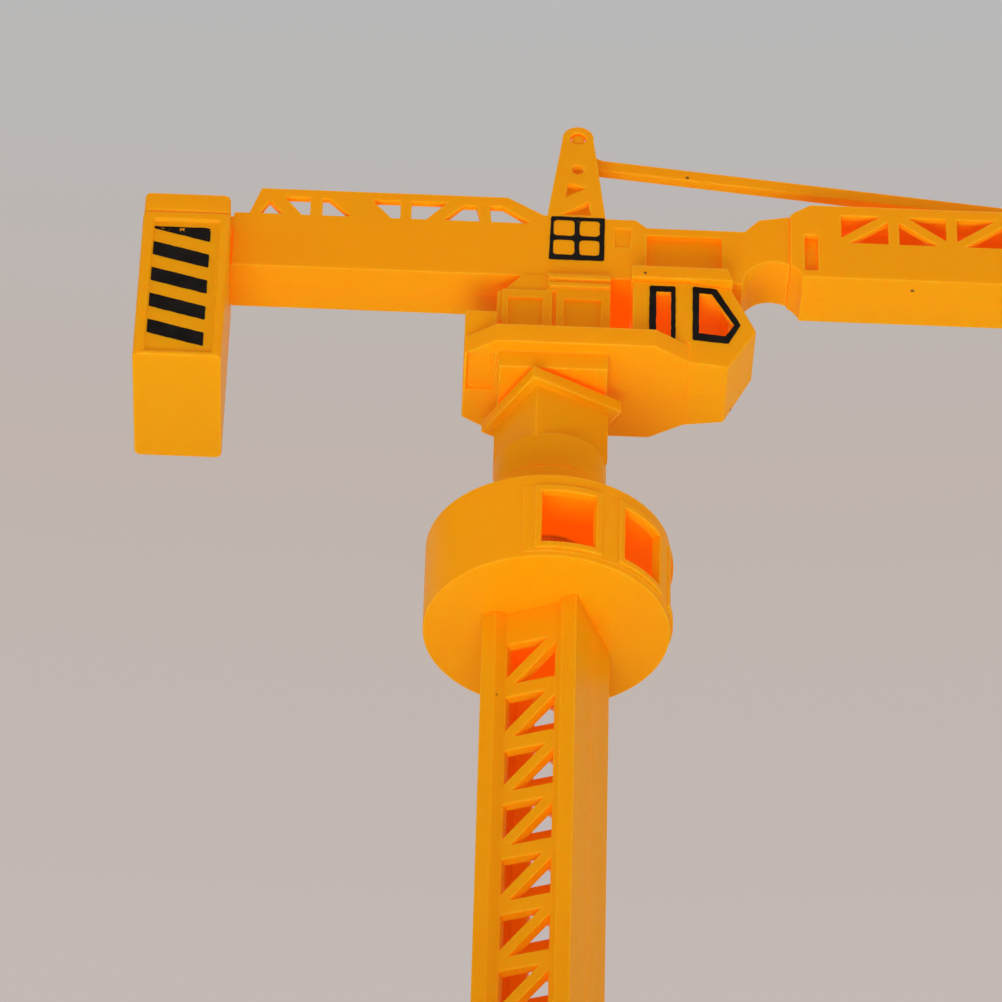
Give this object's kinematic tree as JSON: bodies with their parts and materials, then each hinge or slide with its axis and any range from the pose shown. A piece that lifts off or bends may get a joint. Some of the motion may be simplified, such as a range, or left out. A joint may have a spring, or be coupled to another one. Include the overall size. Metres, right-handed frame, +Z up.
{
  "type": "toy tower crane",
  "caption": "Toy tower crane with a lattice mast, round cabin, slewing jib, counterweight, tie bar, sliding trolley and hook.",
  "frame": {"origin": "centre of the base's underside, on the mast's axis", "axes": "+Z up the mast, +X along the jib towards the boom tip, +Y to the rear"},
  "size_m": [0.2768, 0.1592, 0.3428],
  "materials": {
    "plastic": "satin moulded plastic",
    "steel": "plated",
    "black_print": "black pad print, film only"
  },
  "bodies": {
    "tower": {"base_plate": "plastic", "base_screw_1": "steel", "base_screw_2": "steel", "base_screw_3": "steel", "base_screw_4": "steel", "mast_front_half": "plastic", "mast_rear_half": "plastic", "cabin_shell": "plastic", "cabin_roof": "plastic", "cabin_roof_screw_1": "steel", "cabin_roof_screw_2": "steel"},
    "turret": {"turret_column": "plastic", "turret_washer": "steel", "turret_screw": "steel", "slew_washer": "steel", "slew_screw": "steel"},
    "superstructure": {"platform_front_half": "plastic", "platform_rear_half": "plastic", "engine_housing": "plastic", "cab_front_half": "plastic", "cab_rear_half": "plastic", "cab_roof": "plastic", "jib_front_half": "plastic", "jib_rear_half": "plastic", "jib_screw_1": "steel", "jib_screw_2": "steel", "jib_screw_3": "steel", "jib_screw_4": "steel", "boom_front_half": "plastic", "boom_rear_half": "plastic", "boom_screw_1": "steel", "boom_screw_2": "steel", "tie_bar": "plastic", "tie_pin_head": "plastic", "tie_pin_boom": "steel", "counterweight_shell": "plastic", "counterweight_lid": "plastic"},
    "trolley": {"trolley_slider": "plastic", "trolley_block": "plastic", "hook_pin": "steel"},
    "hook": {"hook": "plastic"}
  },
  "joints": [
    {"name": "turret_swivel", "type": "hinge", "parent": "tower", "child": "turret", "pos_m": [0, 0, 0.2345], "axis": [0, 0, 1], "continuous": true},
    {"name": "slew", "type": "hinge", "parent": "turret", "child": "superstructure", "pos_m": [0, 0, 0.2669], "axis": [0, 0, 1], "continuous": true},
    {"name": "trolley_slide", "type": "slide", "parent": "superstructure", "child": "trolley", "axis": [1, 0, 0], "range_m": [-0.0115, 0.0455]},
    {"name": "hook_swing", "type": "hinge", "parent": "trolley", "child": "hook", "pos_m": [0.128, 0, 0.2947], "axis": [0, 1, 0], "range_deg": [-60, 60]}
  ]
}
